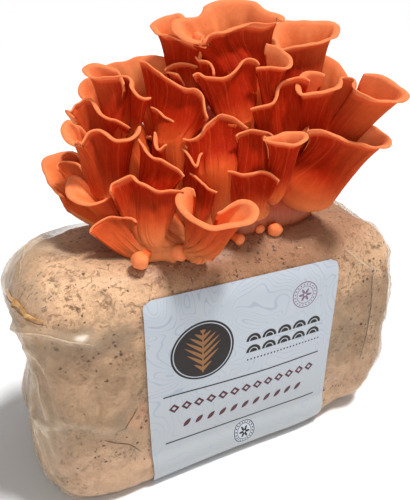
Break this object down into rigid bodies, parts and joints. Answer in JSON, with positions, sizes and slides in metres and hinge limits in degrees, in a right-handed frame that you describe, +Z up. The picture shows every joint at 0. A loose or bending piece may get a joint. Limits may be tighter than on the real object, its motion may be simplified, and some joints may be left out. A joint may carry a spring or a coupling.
{
  "type": "oyster mushroom grow kit",
  "caption": "Film-wrapped straw and mycelium block with a plain paper label and a flush of orange-pink oyster mushrooms growing from a cut in its top.",
  "frame": {"origin": "middle of the block's flat underside, on the surface that it stands on", "axes": "+Z up, -Y out of the face that carries the label, +X to the right seen from the front"},
  "size_m": [0.251, 0.1309, 0.2759],
  "materials": {
    "substrate": "matt straw and pale mycelium, moist",
    "film": "clear thin film, glossy, wrinkled at the ends",
    "label_paper": null,
    "mushroom_flesh": "soft matt flesh with fine gills",
    "stem_flesh": "soft matt flesh, paler and ridged"
  },
  "bodies": {
    "root": {"cluster_base": "stem_flesh", "film_bag": "film", "label": "label_paper", "mushroom_back_high_left": "mushroom_flesh", "mushroom_back_high_right": "mushroom_flesh", "mushroom_back_left_peek": "mushroom_flesh", "mushroom_back_low_centre": "mushroom_flesh", "mushroom_back_low_left": "mushroom_flesh", "mushroom_back_low_right": "mushroom_flesh", "mushroom_back_mid_left": "mushroom_flesh", "mushroom_back_mid_right": "mushroom_flesh", "mushroom_bud_front": "mushroom_flesh", "mushroom_bud_left": "mushroom_flesh", "mushroom_bud_right": "mushroom_flesh", "mushroom_bud_small": "mushroom_flesh", "mushroom_bud_under_right": "mushroom_flesh", "mushroom_centre_arc": "mushroom_flesh", "mushroom_centre_curl": "mushroom_flesh", "mushroom_centre_fan": "mushroom_flesh", "mushroom_centre_small": "mushroom_flesh", "mushroom_centre_tall": "mushroom_flesh", "mushroom_far_left": "mushroom_flesh", "mushroom_far_left_inner": "mushroom_flesh", "mushroom_far_left_small": "mushroom_flesh", "mushroom_front_cup": "mushroom_flesh", "mushroom_front_left_fan": "mushroom_flesh", "mushroom_front_ribbon": "mushroom_flesh", "mushroom_left_crown": "mushroom_flesh", "mushroom_left_cup": "mushroom_flesh", "mushroom_left_funnel": "mushroom_flesh", "mushroom_left_inner": "mushroom_flesh", "mushroom_left_small": "mushroom_flesh", "mushroom_low_left_fan": "mushroom_flesh", "mushroom_right_curl": "mushroom_flesh", "mushroom_right_fan": "mushroom_flesh", "mushroom_right_trumpet": "mushroom_flesh", "mushroom_right_wave": "mushroom_flesh", "mushroom_tall_left": "mushroom_flesh", "mushroom_top_centre": "mushroom_flesh", "mushroom_top_left": "mushroom_flesh", "mushroom_top_right": "mushroom_flesh", "mushroom_upper_arc": "mushroom_flesh", "mushroom_upper_centre": "mushroom_flesh", "mushroom_upper_left_back": "mushroom_flesh", "mushroom_upper_left_funnel": "mushroom_flesh", "mushroom_upper_right_small": "mushroom_flesh", "mushroom_upper_small": "mushroom_flesh", "substrate_block": "substrate"}
  },
  "joints": []
}
